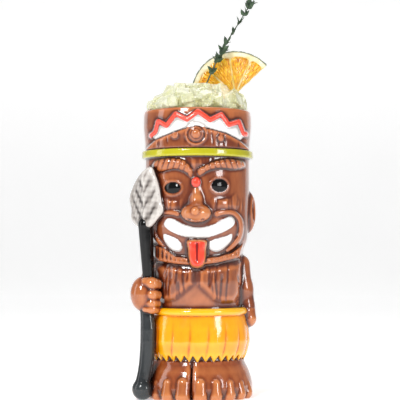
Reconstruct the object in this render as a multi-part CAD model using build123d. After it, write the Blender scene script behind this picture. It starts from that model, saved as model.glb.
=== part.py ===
from build123d import *
import math
import os

# A ceramic tiki mug in the form of a standing figure that holds a spear, filled with crushed ice and
# dressed with a half wheel of citrus and a sprig of thyme.
#
# Millimetres. The origin is on the vessel's axis at its underside, +Z is up and the figure faces -Y, so
# its own right side, with the spear, is on -X. "left" and "right" in the names are the figure's own.
# Outlines drawn on the front of the mug are (x, z) points, seen looking along +Y.

# ---- driving dimensions ----
RIM_HEIGHT = 180.0
FLOOR_THICKNESS = 6.0
LIP_RADIUS = 1.4
LIP_MIDDLE = 32.2  # radius of the middle of the rounded lip
FRONT_REACH = 70.0  # further than anything on the mug stands in front of its axis
OUTER_WALL = [  # (radius, height) of the vessel's outer face, from the bottom up
    (26.5, 0), (28.2, 6), (28.5, 22), (28.2, 50), (27.6, 58), (28.6, 72), (28.6, 84), (28.8, 91),
    (31.6, 98), (32.7, 107), (33.1, 130), (33.1, 147), (33.4, 160), (34.6, 170), (34.4, 176),
]
INNER_WALL = [  # the same for its inner face, from the lip down
    (31.0, 172), (30.2, 160), (29.6, 130), (29.2, 107), (27.6, 97), (25.0, 86), (24.8, 60), (24.6, 14),
]

BAND_LOW = 150.0
BAND_HIGH = 154.6
BAND_RADIUS = 35.2
CORD_WIDTH = 2.8
CORD_HEIGHT = 2.0
ARCH_HEIGHT = 1.5
PANEL_HEIGHT = 0.6
ROSETTE = (-0.8, 163.1)  # centre, x and z
ROSETTE_RADIUS = 7.5
STUDS = {"left": (14.5, 160.7), "right": (-13.9, 162.3)}
STUD_RADIUS = 2.4
STUD_DEPTH = 31.6  # distance of the studs' middles in front of the mug's axis

BROW_HEIGHT = 3.0
EYES = {  # centre x, centre z, half width, half height
    "left": (13.6, 131.8, 5.1, 4.2),
    "right": (-15.2, 130.4, 5.1, 3.6),
}
LID_WIDTH = 1.5
SOCKET_DEPTH = 1.1
MOUTH_DEPTH = 1.3
TOOTH_HEIGHT = 1.0
TONGUE_RADIUS = 34.6  # distance of the tongue's face from the mug's axis

CHEST_SPLIT = -1.4  # x of the line between the breast plates
CHEST_HEIGHT = 1.9
WAIST_ROLL = (29.9, 53.9, 2.3)  # radius of the roll's middle, its height and its own radius
SKIRT_PLEATS = 36
SKIRT_NOTCH = 3.6
LEG_CREASE = -6.5  # degrees from the front to the crease between the legs
TOE_RADIUS = 33.6  # distance of the toes' tips' middles from the mug's axis

BUTT_RADIUS = 6.3
SPEAR_FACING = 38.0  # degrees from the front, towards the figure's right, that the spearhead faces
BLADE_BACK = 28.0  # distances along that direction from the mug's axis
BLADE_EDGE = 34.6
BLADE_RIB = 39.0

CITRUS_RADIUS = 28.0
CITRUS_THICKNESS = 4.0
CITRUS_CENTRE = (24.1, 1.0, 191.4)
CITRUS_TILT = 43.0  # degrees that the cut edge rises towards +X
RIND = 0.8
PITH = 2.6
MEMBRANES = [0, 23, 55, 95, 131, 180]  # degrees from the cut edge
MEMBRANE_HALF = 0.45

STEM_RADIUS = 0.5
STEM_Y = -6.6
LEAF = (1.1, 0.45, 2.0)  # half sizes

ICE_BOTTOM = 165.0
ICE_RADIUS = 29.8  # inside the mouth
LOOSE_FIT = 0.6  # gap round what stands in the ice

UPRIGHT = (Align.CENTER, Align.CENTER, Align.MIN)


# ---- helpers ----
def turned(section):
    """The solid made by turning a face, drawn as (radius, height), once round the axis."""
    return revolve(Plane.XZ * section, Axis.Z)


def wall_solid(growth=0.0):
    """The vessel with no hollow, its wall grown outwards by `growth`."""
    side = [(radius + growth, height) for radius, height in OUTER_WALL]
    shoulder = (LIP_MIDDLE + LIP_RADIUS + growth, RIM_HEIGHT - LIP_RADIUS)
    crown = (LIP_MIDDLE + growth, RIM_HEIGHT)
    return turned(straight(*side, shoulder, crown, (0, RIM_HEIGHT), (0, 0)))


def drum(radius, low, high):
    return Pos(0, 0, low) * Cylinder(radius, high - low, align=UPRIGHT)


def straight(*points):
    """A face with straight sides."""
    return make_face(Polyline(*points, close=True))


def rounded(*points):
    """A face with one smooth closed edge."""
    return make_face(Spline(*points, periodic=True))


def open_curve(*points):
    """A face with one smooth edge through the points and a straight one back to the first."""
    return make_face(Spline(*points) + Line(points[-1], points[0]))


def oval(x, z, half_width, half_height):
    return Pos(x, z) * Ellipse(half_width, half_height)


def stroke(points, width):
    """A band of one width along a smooth line, with round ends."""
    ends = [Pos(*point) * Circle(width / 2) for point in (points[0], points[-1])]
    return trace(Spline(*points), width) + ends


def mirrored(points):
    return [(-x, z) for x, z in points]


def prism(outline):
    """The outline carried from the middle plane forwards."""
    return extrude(Plane.XZ * outline, amount=FRONT_REACH)


def relief(outline, height, depth=0.0):
    """A patch on the front of the wall, from `depth` under the wall's face to `height` above it."""
    return (prism(outline) & wall_solid(height)) - wall_solid(-depth)


def rod(start, end, start_radius, end_radius):
    """A round bar that may taper from one end to the other."""
    run = Vector(end) - Vector(start)
    if start_radius == end_radius:
        bar = Cylinder(start_radius, run.length, align=UPRIGHT)
    else:
        bar = Cone(start_radius, end_radius, run.length, align=UPRIGHT)
    return Plane(origin=start, z_dir=run) * bar


def limb(*stations):
    """A rounded limb through stations given as (x, y, z, radius)."""
    solid = Pos(*stations[0][:3]) * Sphere(stations[0][3])
    for near, far in zip(stations, stations[1:]):
        solid += rod(near[:3], far[:3], near[3], far[3])
        solid += Pos(*far[:3]) * Sphere(far[3])
    return solid


def ellipsoid(centre, half_sizes, turn=0.0):
    """An egg shape, turned about +Z by `turn` degrees."""
    return Pos(*centre) * Rot(0, 0, turn) * scale(Sphere(1), by=half_sizes)


def around(angle, radius, height):
    """A point at `angle` degrees from the front, positive towards the figure's left."""
    turn = math.radians(angle)
    return (radius * math.sin(turn), -radius * math.cos(turn), height)


def sector(section, start, sweep):
    """A (radius, height) section turned from `start` degrees through `sweep` degrees round the mug."""
    return Rot(0, 0, start - 90) * revolve(Plane.XZ * section, Axis.Z, revolution_arc=sweep)


def write(name, shape, *cut_by):
    """Cut a piece back from its neighbours and write it as one sub-part."""
    for neighbour in cut_by:
        shape = shape - neighbour
    solids = shape.solids()
    shape = solids[0] if len(solids) == 1 else Compound(children=list(solids))
    export_step(shape, f"parts/{name}.step")
    return shape


os.makedirs("parts", exist_ok=True)
core = wall_solid()

# ---- vessel: wall, floor, rounded lip, and shallow recesses for the eyes and the mouth ----
lip_inside = (LIP_MIDDLE - LIP_RADIUS, RIM_HEIGHT - LIP_RADIUS)
inner_side = Spline(lip_inside, *INNER_WALL)
floor_edge = (20, FLOOR_THICKNESS)
above = RIM_HEIGHT + 5
hollow_rest = Polyline(
    inner_side @ 1, floor_edge, (0, FLOOR_THICKNESS), (0, above), (LIP_MIDDLE, above),
    (LIP_MIDDLE, RIM_HEIGHT), lip_inside,
)
hollow = turned(make_face(inner_side + hollow_rest))
mouth = rounded(
    (-22.5, 109), (-16, 113.6), (-8, 110.5), (0, 108.2), (8, 109), (17, 113.6), (24.6, 111), (24, 104),
    (21, 94), (13, 89.6), (0, 88.5), (-13, 89.6), (-20.5, 95),
)
sockets = oval(-14.4, 131.4, 8.4, 8.6) + oval(14.6, 132.0, 9.6, 8.8)
face_recesses = (prism(sockets) - wall_solid(-SOCKET_DEPTH)) + (prism(mouth) - wall_solid(-MOUTH_DEPTH))
write("vessel", core - hollow, face_recesses)
backing = core - face_recesses

# ---- spearhead: a leaf-shaped blade with a rib ----
head_outline = [
    (-29.1, 143.6), (-36.9, 137.9), (-42.6, 126), (-41.4, 118), (-41.4, 111.5), (-36.9, 106.9),
    (-29.4, 106.4), (-24.4, 111.6), (-20.9, 116.5), (-22.3, 123), (-23.5, 130.5), (-25.9, 138.2),
]
blade_section = straight(
    (BLADE_BACK, -4), (BLADE_EDGE, -4), (BLADE_RIB, 11.5), (BLADE_EDGE, 28), (BLADE_BACK, 28)
)
blade = Rot(0, 0, -90 - SPEAR_FACING) * Pos(0, 0, 100) * extrude(mirror(blade_section, Plane.XZ), amount=50)
spear_head = write("spear_head", prism(rounded(*head_outline)) & blade, core)

upper_shaft = rod((-30.3, -19.5, 75.4), (-32.2, -20.5, 107.0), 3.4, 4.5) - core - spear_head

# ---- headdress ----
band_middle = (BAND_LOW + BAND_HIGH) / 2
band_section = straight(
    (30, BAND_LOW), (BAND_RADIUS - 0.4, BAND_LOW), (BAND_RADIUS, band_middle),
    (BAND_RADIUS - 0.4, BAND_HIGH), (30, BAND_HIGH),
)
write("headband", turned(band_section), core)

zigzag_line = [
    (-28.7, 163.6), (-26.1, 165.3), (-24.3, 171.8), (-19, 168.7), (-13.3, 175.6), (-6.3, 172), (0.4, 177),
    (7.9, 171.7), (14.7, 175.3), (19.4, 169.2), (25.9, 171.7), (28.9, 164.5), (30.6, 164.8),
]
arch_line = [
    (-31.5, 157), (-25.9, 160.9), (-17.4, 163.7), (-8, 166.8), (0, 167.9), (8, 166.4), (17.8, 164.1),
    (26.3, 160.4), (32, 157),
]
arch_sides = Polyline(arch_line[-1], (32, BAND_HIGH), (-31.5, BAND_HIGH), arch_line[0])
panel_sides = Polyline(arch_line[-2], *zigzag_line[::-1], arch_line[1])
ring = Pos(*ROSETTE) * (Circle(5.6) - Circle(4.4))
rosette = relief(Pos(*ROSETTE) * Circle(ROSETTE_RADIUS), 2.6) - relief(ring, 3.0, -1.6)
rosette += ellipsoid((ROSETTE[0], -35.6, ROSETTE[1]), (2.7, 2.2, 2.7))
rosette = write("rosette", rosette, core)
for side, (x, z) in STUDS.items():
    write(f"rosette_stud_{side}", Pos(x, -STUD_DEPTH, z) * Rot(90, 0, 0) * Sphere(STUD_RADIUS), core)
arch_outline = make_face(Spline(*arch_line) + arch_sides) - Pos(*ROSETTE) * Circle(ROSETTE_RADIUS)
for stud in STUDS.values():
    arch_outline -= Pos(*stud) * Circle(STUD_RADIUS)
arch = write("headdress_arch", relief(arch_outline, ARCH_HEIGHT))
cord = write("zigzag_cord", relief(trace(Polyline(*zigzag_line), CORD_WIDTH), CORD_HEIGHT))
panel_outline = make_face(Spline(*arch_line[1:-1]) + panel_sides)
write("headdress_panel", relief(panel_outline, PANEL_HEIGHT), cord, arch, rosette)

# ---- brows, eyes and the drop between them ----
brow_outlines = {
    "left": [
        (0.4, 141.6), (5.3, 144.7), (10.7, 146.9), (19, 148.8), (27.6, 147.8), (30, 144.6), (24, 142.2),
        (13.5, 142.4), (6.9, 140.8), (1.4, 137.8),
    ],
    "right": [
        (-2.9, 141), (-6.3, 145.9), (-10.6, 148.3), (-19.5, 149.2), (-26, 147.6), (-28, 144), (-23.5, 140.6),
        (-13.9, 142), (-7.3, 139.8), (-4, 137),
    ],
}
for side, (x, z, half_width, half_height) in EYES.items():
    write(f"brow_{side}", relief(rounded(*brow_outlines[side]), BROW_HEIGHT), spear_head)
    ball = oval(x, z, half_width, half_height)
    lid = oval(x, z, half_width + LID_WIDTH, half_height + LID_WIDTH) - ball
    write(f"eyelid_{side}", relief(lid, 1.0, SOCKET_DEPTH))
    write(f"eye_{side}", relief(ball, 0.5, SOCKET_DEPTH))
write("forehead_dot", relief(oval(-0.8, 133.7, 2.8, 3.1), 1.6))

# ---- nose ----
nose_middle = -0.8
bridge = limb((-0.6, -31.6, 128, 2.4), (-0.7, -32.6, 123, 3.6), (nose_middle, -34.0, 117, 5.2))
bulb = ellipsoid((nose_middle, -33.5, 115), (9.1, 7.4, 5.7))
stud = write("nose_stud", Pos(-1.3, -40.3, 115.7) * Rot(90, 0, 0) * Cylinder(2.8, 2.0))
write("nose", bulb + bridge, core, stud)

# ---- mouth ----
fold_line = [(12.2, 114.4), (16, 115.4), (22, 115.2), (26.2, 111.5), (27.4, 106), (26.4, 100.5), (23.6, 96.4)]
write("cheek_fold_left", relief(stroke(fold_line, 3.0), 2.2))
write("cheek_fold_right", relief(stroke(mirrored(fold_line), 3.0), 2.2), spear_head, upper_shaft)
teeth = {
    "upper_teeth": [
        (-20.6, 108.9), (-18.2, 111.9), (-14.3, 111.4), (-7.6, 108), (1.5, 106.3), (10.1, 108.2),
        (16.5, 111.7), (20.7, 113.2), (23.3, 110.5), (21.8, 106.5), (13.3, 101.9), (2.3, 99),
        (-7.4, 100.1), (-14.8, 102.7),
        (-19.7, 106.1),
    ],
    "lower_tooth_left": [
        (6.6, 95.7), (8.5, 98.4), (17, 100.9), (21.5, 102.4), (20.8, 97.5), (15.5, 92.2), (11.2, 90.8),
        (7.4, 92.4),
    ],
    "lower_tooth_right": [
        (-9.2, 95.5), (-11.7, 98.9), (-16.5, 101.4), (-21, 102.2), (-20.3, 97.4), (-15.9, 92),
        (-11.3, 91), (-9, 92.8),
    ],
}
for name, outline in teeth.items():
    write(name, relief(rounded(*outline), TOOTH_HEIGHT, MOUTH_DEPTH))

tongue_edge = [
    (-6.2, 98.2), (-6.4, 92), (-5.6, 85.5), (-3, 81.4), (0, 80.6), (3, 81.6), (5.4, 86), (6, 92), (5.7, 98.2),
]
tongue_middle = [
    (-4.6, 98.2), (-4.8, 92), (-4.2, 86.6), (-2.2, 83.4), (0, 82.6), (2.2, 83.6), (4, 87), (4.4, 92),
    (4.2, 98.2),
]
groove = rod((-0.2, -36.4, 99), (-0.2, -35.2, 84), 1.0, 1.0)
tongue = write("tongue", prism(open_curve(*tongue_middle)) & drum(TONGUE_RADIUS, 78, 100), backing, groove)
rim_outline = open_curve(*tongue_edge) - open_curve(*tongue_middle)
tongue_rim = write("tongue_rim", prism(rim_outline) & drum(TONGUE_RADIUS + 0.6, 78, 100), backing)

fringe_top = [(27.4, 91.6), (18, 89.8), (9.1, 87.2), (-0.2, 85), (-9.4, 87.6), (-17, 89.6), (-25, 91)]
fringe_low = [(-24.5, 84.8), (-12, 83), (-0.2, 82.3), (13, 84.2), (27.2, 87.2)]
fringe_ends = Line(fringe_top[-1], fringe_low[0]) + Line(fringe_low[-1], fringe_top[0])
fringe_outline = make_face(Spline(*fringe_top) + Spline(*fringe_low) + fringe_ends)
fringe = prism(fringe_outline) & drum(32.4, 78, 96)
fringe = write("chin_fringe", fringe, backing, tongue, tongue_rim, upper_shaft)

# ---- ears ----
for side, sign in (("left", 1), ("right", -1)):
    whole_ear = ellipsoid((sign * 31.8, 1, 116.4), (5.6, 6.4, 13.6))
    concha = ellipsoid((sign * 37.4, -1.4, 117.4), (3.4, 3.6, 8.0))
    write(f"ear_{side}", whole_ear, core, concha)

# ---- skirt ----
skirt_section = straight((25, 23), (29.6, 23), (31.6, 28), (33.2, 35), (32.6, 44), (31.0, 51.6), (25, 51.6))
notch_half = math.pi * 31 / SKIRT_PLEATS
notch = straight((-notch_half, 22), (0, 22 + SKIRT_NOTCH), (notch_half, 22))
notches = [Rot(0, 0, 360 / SKIRT_PLEATS * pleat) * prism(notch) for pleat in range(SKIRT_PLEATS)]
skirt = write("skirt", turned(skirt_section), core, Compound(children=notches))
waistband = write("waistband", turned(Pos(*WAIST_ROLL[:2]) * Circle(WAIST_ROLL[2])), core)

# ---- spear butt, feet and toes ----
spear_butt = write("spear_butt", Pos(-33.8, -21.2, BUTT_RADIUS) * Sphere(BUTT_RADIUS), core)
foot_section = straight(
    (24, 0), (32.5, 0), (34.6, 2.6), (35.0, 7), (34.0, 12.5), (32.2, 17.5), (29.6, 22.4), (24, 22.8)
)
toe_rows = {  # angle from the front, half width and height of each toe, from the big one out
    "left": [(6, 4.4, 15.2), (22, 4.1, 14.8), (37.5, 3.9, 14.0), (53, 3.8, 13.2), (69, 3.6, 12.0)],
    "right": [(-15, 4.3, 15.2), (-32.5, 3.9, 14.4), (-48, 2.8, 13.2), (-84, 3.6, 12.0)],
}
half_ring = 360 / 2 - 2
foot_starts = {"left": LEG_CREASE + 1, "right": LEG_CREASE - 1 - half_ring}
for side, row in toe_rows.items():
    row_of_toes = Part()
    for angle, half_width, height in row:
        ball = (*around(angle, TOE_RADIUS, half_width), half_width)
        knuckle = (*around(angle, TOE_RADIUS - 1.6, height - half_width * 0.9), half_width * 0.9)
        row_of_toes += limb(ball, knuckle)
    toes = write(f"toes_{side}", row_of_toes, core, spear_butt)
    write(f"foot_{side}", sector(foot_section, foot_starts[side], half_ring), core, toes, spear_butt)

# ---- the arm at the figure's left side ----
hand_left = limb((30.6, -2.4, 52.6, 6.3), (31.9, -3.0, 48.8, 5.4))
hand_left = write("hand_left", hand_left, core, skirt, waistband)
hanging_arm = limb((27.0, -1.0, 83.0, 6.4), (28.4, -1.6, 68, 6.2), (30.4, -2.0, 58, 6.2))
write("arm_left", hanging_arm, core, hand_left, waistband)

# ---- spear, the fist round it, and the arm behind ----
palm = ellipsoid((-33.4, -18.6, 65.0), (7.8, 7.6, 10.8))
finger_rows = [(71.8, 3.4), (65.2, 3.3), (59.9, 2.7), (56.2, 2.2)]  # height and radius, from the first down
fingers = Part()
for height, radius in finger_rows:
    knuckle = (-34.5, -24.6, height, radius)
    middle_joint = (-28.2, -25.2, height - 0.4, radius)
    fingers += limb(knuckle, middle_joint, (-25.6, -22.0, height - 0.8, radius))
fist = write("fist_right", palm, core, waistband)
fingers = write("fingers_right", fingers, fist, waistband)

upper_shaft = write("spear_shaft_upper", upper_shaft, fist, fingers)
lower = limb(
    (-31.3, -20.0, 54.6, 3.9), (-30.4, -20.4, 44, 4.7), (-30.8, -20.6, 29.4, 4.6), (-32.0, -20.8, 20.5, 4.4),
    (-33.2, -21.0, 13, 4.4),
)
write("spear_shaft_lower", lower, core, spear_butt, skirt, waistband, fist, fingers)
raised_arm = limb((-26.8, -3.0, 82.5, 6.4), (-29.4, -7.5, 73, 5.6), (-31.5, -13.5, 66.5, 5.2))
write("arm_right", raised_arm, core, fringe, fist, fingers, upper_shaft)


# ---- chest ----
chest_outlines = {
    "left": [
        (CHEST_SPLIT, 69.8), (3.6, 65.6), (9.1, 60.5), (14.9, 58.6), (21, 58.8), (24.6, 62),
        (25.5, 72), (25.5, 84),
    ],
    "right": [
        (CHEST_SPLIT, 69.8), (-7, 65.4), (-12, 61.2), (-16, 59.6), (-19.6, 61.4), (-21.4, 72), (-21.4, 84),
    ],
}
for side, outline in chest_outlines.items():
    throat = Polyline(outline[-1], (outline[-1][0] / 2, 83.6), (CHEST_SPLIT, 81.6), outline[0])
    plate = relief(make_face(Spline(*outline) + throat), CHEST_HEIGHT)
    write(f"chest_{side}", plate, fringe, tongue, tongue_rim)

# ---- citrus: half a round slice, drawn about the wheel's centre with its cut edge along x ----
def slice_of(face, thickness=CITRUS_THICKNESS):
    place = Plane(origin=CITRUS_CENTRE, x_dir=(1, 0, 0), z_dir=(0, -1, 0))
    return extrude(place * Rot(0, 0, CITRUS_TILT) * face, amount=thickness / 2, both=True)


def half_wheel(radius, beyond=0.0):
    """Half of a round slice whose cut edge is `beyond` past the centre."""
    return Circle(radius) & (Pos(0, radius / 2 - beyond) * Rectangle(2 * radius, radius))


def segment(low, high):
    """One wedge of pulp between the membranes at `low` and `high` degrees from the cut edge."""
    middle = math.radians((low + high) / 2)
    tip_distance = MEMBRANE_HALF / math.sin(math.radians(high - low) / 2)
    tip = Vector(math.cos(middle), math.sin(middle)) * tip_distance
    reach = 2 * CITRUS_RADIUS
    sides = [tip + Vector(math.cos(math.radians(a)), math.sin(math.radians(a))) * reach for a in (low, high)]
    return straight(tip, *sides) & Circle(CITRUS_RADIUS - RIND - PITH)


pulp = Sketch() + [segment(low, high) for low, high in zip(MEMBRANES, MEMBRANES[1:])]
flesh = half_wheel(CITRUS_RADIUS - RIND)
write("citrus_rind", slice_of(half_wheel(CITRUS_RADIUS) - flesh))
write("citrus_pith", slice_of(flesh - pulp))
write("citrus_segments", slice_of(pulp))

# ---- sprig: a stem with pairs of leaves ----
stem_line = [
    (-0.7, 183.1), (9.5, 206.0), (12.4, 212.6), (15.9, 218.4), (18.9, 224.4), (22.8, 230.8), (26.9, 237.2),
    (30.6, 243.2), (33.6, 247.6),
]
stem = limb(*[(x, STEM_Y, z, STEM_RADIUS) for x, z in stem_line])
write("sprig_stem", stem)
leaves = []
for index, (x, z) in enumerate(stem_line[1:]):
    for lift in (0.0, 2.6):
        for tilt in (-15 - 20 * (index % 3), 75 + 15 * (index % 3)):
            leaf = Pos(0, 0, LEAF[2] - 0.1) * scale(Sphere(1), by=LEAF)
            place = Pos(x + lift * 0.45, STEM_Y, z + lift)
            leaves.append(place * Rot(0, tilt, 0) * Rot(0, 0, 40 * index) * leaf)
write("sprig_leaves", Part() + leaves)

# ---- ice: a mound with a slot for the slice and a hole for the stem ----
lip_gap = RIM_HEIGHT + 0.5
mound = straight(
    (0, ICE_BOTTOM), (ICE_RADIUS, ICE_BOTTOM), (ICE_RADIUS, lip_gap), (32.2, lip_gap), (31.5, 184),
    (28.5, 188), (21, 192), (14, 194.5), (6, 196.5), (0, 196.8),
)
slot = slice_of(half_wheel(CITRUS_RADIUS + LOOSE_FIT, LOOSE_FIT), CITRUS_THICKNESS + 2 * LOOSE_FIT)
stem_run = Vector(stem_line[1][0] - stem_line[0][0], 0, stem_line[1][1] - stem_line[0][1]).normalized()
hole_end = Vector(stem_line[0][0], STEM_Y, stem_line[0][1]) - stem_run * 1.5
hole_radius = STEM_RADIUS + LOOSE_FIT
write("crushed_ice", turned(mound), slot, rod(hole_end, hole_end + stem_run * 30, hole_radius, hole_radius))
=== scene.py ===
import math

import bpy
import numpy as np
import openvdb
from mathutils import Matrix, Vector


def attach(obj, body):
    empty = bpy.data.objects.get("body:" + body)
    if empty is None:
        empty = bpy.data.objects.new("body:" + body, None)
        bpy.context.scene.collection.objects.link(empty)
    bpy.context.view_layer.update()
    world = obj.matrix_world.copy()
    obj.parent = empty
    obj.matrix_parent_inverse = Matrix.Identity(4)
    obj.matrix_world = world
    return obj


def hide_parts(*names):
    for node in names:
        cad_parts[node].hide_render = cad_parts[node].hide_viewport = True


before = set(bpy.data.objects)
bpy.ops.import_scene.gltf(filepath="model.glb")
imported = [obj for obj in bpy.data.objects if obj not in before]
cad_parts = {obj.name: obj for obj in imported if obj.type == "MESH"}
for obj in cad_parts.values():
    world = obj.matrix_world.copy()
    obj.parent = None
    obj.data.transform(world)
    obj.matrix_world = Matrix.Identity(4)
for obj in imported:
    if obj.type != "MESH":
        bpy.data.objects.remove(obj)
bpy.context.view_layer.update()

# A ceramic tiki mug with crushed ice, half a citrus slice and a sprig of thyme.
#
# The fired clay is sculpted as one distance field in millimetres, with the CAD's own sizes: X to the
# figure's left, -Y to its front, Z up from the base. Each piece is then cut from the field as its own
# closed mesh, raised by its glaze, so a seam between two pieces never shows a gap.

# ---- sizes, in millimetres ----
MM = 0.001
STEP = 0.6  # spacing of the clay grid
MAP_STEP = 0.3  # spacing of the drawn relief maps
RIM = 180.0
FLOOR = 6.0
SKIN = 1.2  # how deep a painted patch reaches under the clay's face
WALL = [  # (radius, height) of the vessel's outer face, from the bottom up
    (26.2, -2), (26.8, 0.5), (28.2, 6), (28.5, 22), (28.2, 50), (27.6, 58), (28.6, 72), (28.6, 84),
    (28.8, 91), (31.6, 98), (32.7, 107), (33.1, 130), (33.1, 147), (33.4, 160), (34.4, 170), (34.3, 176),
    (33.6, 182),
]
HOLLOW = [  # the same for the face that holds the drink
    (20, 4), (23.6, 9), (24.6, 14), (24.8, 60), (25.0, 86), (27.6, 97), (29.2, 107), (29.6, 130),
    (30.2, 160), (31.0, 172), (31.0, 190),
]
BAND = (150.0, 154.6)
PLEATS = 36
CREASE = -6.5  # degrees from the front to the crease between the legs
SPEAR_FACING = 38.0

ZIGZAG = [
    (-28.7, 163.6), (-26.1, 165.3), (-24.3, 171.8), (-19, 168.7), (-13.3, 175.6), (-6.3, 172), (0.4, 177),
    (7.9, 171.7), (14.7, 175.3), (19.4, 169.2), (25.9, 171.7), (28.9, 164.5), (30.6, 164.8),
]
ARCH = [
    (-32.6, 156), (-25.9, 160.9), (-17.4, 163.7), (-8, 166.8), (0, 167.9), (8, 166.4), (17.8, 164.1),
    (26.3, 160.4), (33, 156),
]
BROW_LEFT = [
    (0.4, 141.6), (5.3, 144.7), (10.7, 146.9), (19, 148.8), (27.6, 147.8), (30, 144.6), (24, 142.2),
    (13.5, 142.4), (6.9, 140.8), (1.4, 137.8),
]
BROW_RIGHT = [
    (-2.9, 141), (-6.3, 145.9), (-10.6, 148.3), (-19.5, 149.2), (-26, 147.6), (-28, 144), (-23.5, 140.6),
    (-13.9, 142), (-7.3, 139.8), (-4, 137),
]
EYES = {"left": (13.6, 131.8, 5.1, 4.2), "right": (-15.2, 130.4, 5.1, 3.6)}
ROSETTE = (-0.8, 163.1, 7.5)
STUDS = {"left": (14.5, 160.7), "right": (-13.9, 162.3)}
MOUTH = [
    (-22.5, 109), (-16, 113.6), (-8, 110.5), (0, 108.2), (8, 109), (17, 113.6), (24.6, 111), (24, 104),
    (21, 94), (13, 89.6), (0, 88.5), (-13, 89.6), (-20.5, 95),
]
TEETH = {
    "upper_teeth": [
        (-20.6, 108.9), (-18.2, 111.9), (-14.3, 111.4), (-7.6, 108), (1.5, 106.3), (10.1, 108.2),
        (16.5, 111.7), (20.7, 113.2), (23.3, 110.5), (21.8, 106.5), (13.3, 101.9), (2.3, 99),
        (-7.4, 100.1), (-14.8, 102.7), (-19.7, 106.1),
    ],
    "lower_tooth_left": [
        (6.6, 95.7), (8.5, 98.4), (17, 100.9), (21.5, 102.4), (20.8, 97.5), (15.5, 92.2), (11.2, 90.8),
        (7.4, 92.4),
    ],
    "lower_tooth_right": [
        (-9.2, 95.5), (-11.7, 98.9), (-16.5, 101.4), (-21, 102.2), (-20.3, 97.4), (-15.9, 92), (-11.3, 91),
        (-9, 92.8),
    ],
}
TONGUE = [
    (-5.9, 98.4), (-6.3, 92), (-6.0, 86), (-4.2, 81.9), (-0.3, 80.5), (3.8, 81.9), (5.8, 86), (6, 92),
    (5.4, 98.4),
]
FOLD = [
    (12.2, 114.4), (16, 115.4), (22, 115.2), (26.2, 111.5), (27.4, 106), (26.4, 100.5), (23.6, 96.4),
    (19, 91.5),
]
JAW = [
    (29.5, 97), (21, 91), (13, 88.6), (0, 87.6), (-13, 88.6), (-20.5, 94), (-29.5, 97), (-27.5, 86.5),
    (-14, 83.6), (-0.2, 82.3), (13, 84.2), (27.5, 88),
]
FRINGE = [
    (27.4, 91.6), (18, 89.8), (9.1, 87.2), (-0.2, 85), (-9.4, 87.6), (-17, 89.6), (-26, 91), (-25.5, 84.8),
    (-12, 83), (-0.2, 82.3), (13, 84.2), (27.2, 87.2),
]
CHEST = {
    "left": [
        (-1.4, 82), (-1.4, 70.5), (3.6, 65.6), (9.1, 60.5), (14.9, 58.6), (24, 58.8), (28, 63), (29.6, 72),
        (29.6, 86),
    ],
    "right": [
        (-1.4, 82), (-1.4, 70.5), (-7, 65.4), (-13, 60.6), (-20.5, 58.6), (-27, 61.5), (-29.6, 72),
        (-29.6, 85),
    ],
}
SPEAR_OUTLINE = [
    (-29.1, 143.6), (-36.9, 137.9), (-42.6, 126), (-41.4, 118), (-41.4, 111.5), (-36.9, 106.9),
    (-29.4, 106.4), (-24.4, 111.6), (-20.9, 116.5), (-22.3, 123), (-23.5, 130.5), (-25.9, 138.2),
]
UPPER_SHAFT = [(-30.3, -19.5, 75.0, 3.5), (-32.2, -20.5, 108.0, 4.5)]
LOWER_SHAFT = [
    (-31.3, -20.0, 54.6, 4.0), (-30.7, -20.2, 49, 4.4), (-30.4, -20.4, 43, 4.7), (-30.5, -20.5, 36, 4.7),
    (-30.9, -20.6, 29, 4.6), (-31.5, -20.8, 22, 4.5), (-32.4, -20.9, 16, 4.5), (-33.2, -21.0, 12, 4.6),
]
RIGHT_ARM = [(-26.8, -3.0, 82.5, 6.4), (-29.4, -7.5, 73, 5.6), (-31.5, -13.5, 66.5, 5.2)]
LEFT_ARM = [(27.0, -1.0, 83.0, 6.4), (28.4, -1.6, 68, 6.2), (30.4, -2.0, 57, 6.2)]
FINGERS = [(71.8, 3.5), (65.2, 3.4), (59.9, 2.8), (56.2, 2.4)]
TOES = {
    "left": [(3, 4.5, 15.0), (19.5, 4.3, 14.6), (36, 4.2, 14.0), (52, 4.1, 13.2), (68, 4.0, 12.2)],
    "right": [(-15.5, 4.7, 15.4), (-32.5, 4.4, 14.5), (-48.5, 4.0, 13.4), (-84, 4.0, 12.2)],
}

CITRUS_CENTRE = (24.1, 1.0, 191.4)
CITRUS_RADIUS = 28.0
CITRUS_TILT = math.radians(43)
MEMBRANES = [0, 23, 55, 95, 131, 180]
ICE_LOW = 165.0
STEM = [
    (-0.7, 183.1), (9.5, 206.0), (12.4, 212.6), (15.9, 218.4), (18.9, 224.4), (22.8, 230.8), (26.9, 237.2),
    (30.6, 243.2), (33.6, 247.6),
]
STEM_Y = -6.6


# ---- small maths ----
def smooth_min(a, b, k):
    h = np.clip(0.5 + 0.5 * (b - a) / k, 0, 1)
    return b + (a - b) * h - k * h * (1 - h)


def smooth_max(a, b, k):
    return -smooth_min(-a, -b, k)


def ramp(value, low, high):
    t = np.clip((value - low) / (high - low), 0, 1)
    return t * t * (3 - 2 * t)


def profile(points):
    """Radius as a smooth function of height."""
    heights = np.array([z for _, z in points], float)
    radii = np.array([r for r, _ in points], float)
    fine = np.arange(heights[0], heights[-1], 0.25)
    raw = np.interp(fine, heights, radii)
    kernel = np.hanning(17)
    padded = np.pad(raw, 8, mode="edge")
    soft = np.convolve(padded, kernel / kernel.sum(), mode="valid")
    return lambda z: np.interp(z, fine, soft)


wall_radius = profile(WALL)
hollow_radius = profile(HOLLOW)


def around(angle, radius, height):
    turn = math.radians(angle)
    return (radius * math.sin(turn), -radius * math.cos(turn), height)


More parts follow.
